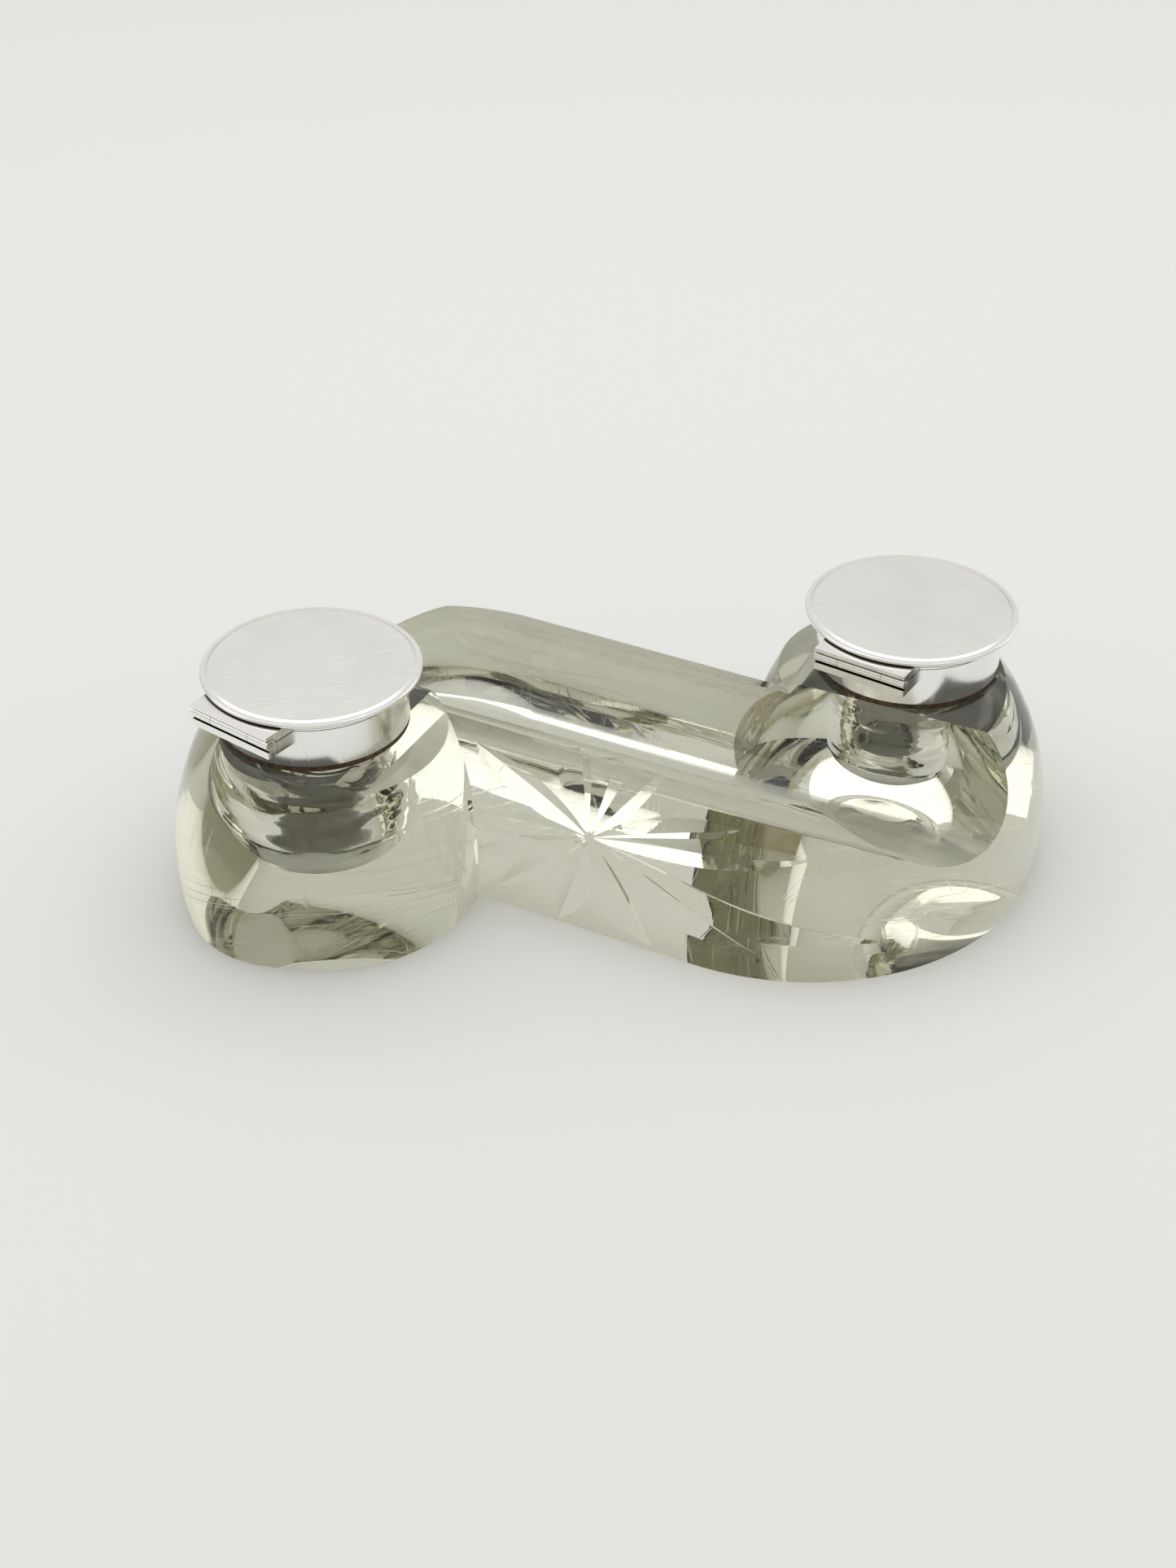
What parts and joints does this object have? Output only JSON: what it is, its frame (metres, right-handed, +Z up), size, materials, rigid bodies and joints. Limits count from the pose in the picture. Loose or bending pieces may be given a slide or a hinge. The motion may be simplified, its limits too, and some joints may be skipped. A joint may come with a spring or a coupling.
{
  "type": "double glass inkwell",
  "caption": "Double desk inkwell: S-shaped cut-glass block with domed ends, round-bottomed pen groove and hinged round silver lids over the wells.",
  "frame": {"origin": "centre of the flat base, midway between the two wells", "axes": "+X from the left well to the right well, +Z up, front of the stand towards -Y"},
  "size_m": [0.185, 0.1065, 0.0534],
  "materials": {
    "glass": "polished cut glass, faint grey-green tint",
    "silver": "polished silver with fine hairline scratches",
    "dull_silver": "unpolished silver, slightly tarnished",
    "cement": "dark brown setting cement"
  },
  "bodies": {
    "stand": {"glass_body": "glass", "left_cement": "cement", "left_collar": "silver", "left_mouth_ring": "dull_silver", "left_collar_hinge_plate": "silver", "left_collar_knuckles": "silver", "left_hinge_pin": "dull_silver", "right_cement": "cement", "right_collar": "silver", "right_mouth_ring": "dull_silver", "right_collar_hinge_plate": "silver", "right_collar_knuckles": "silver", "right_hinge_pin": "dull_silver"},
    "left_lid": {"left_lid_disc": "silver", "left_lid_rim": "silver", "left_lid_band": "silver", "left_lid_liner": "dull_silver", "left_lid_hinge_plate": "silver", "left_lid_knuckle": "silver"},
    "right_lid": {"right_lid_disc": "silver", "right_lid_rim": "silver", "right_lid_band": "silver", "right_lid_liner": "dull_silver", "right_lid_hinge_plate": "silver", "right_lid_knuckle": "silver"}
  },
  "joints": [
    {"name": "left_lid_hinge", "type": "hinge", "parent": "stand", "child": "left_lid", "pos_m": [-0.07846, -0.01527, 0.0502], "axis": [0.6756, -0.7373, 0], "range_deg": [0, 100]},
    {"name": "right_lid_hinge", "type": "hinge", "parent": "stand", "child": "right_lid", "pos_m": [0.04624, -0.01639, 0.0502], "axis": [0.7254, -0.6884, 0], "range_deg": [0, 100]}
  ]
}
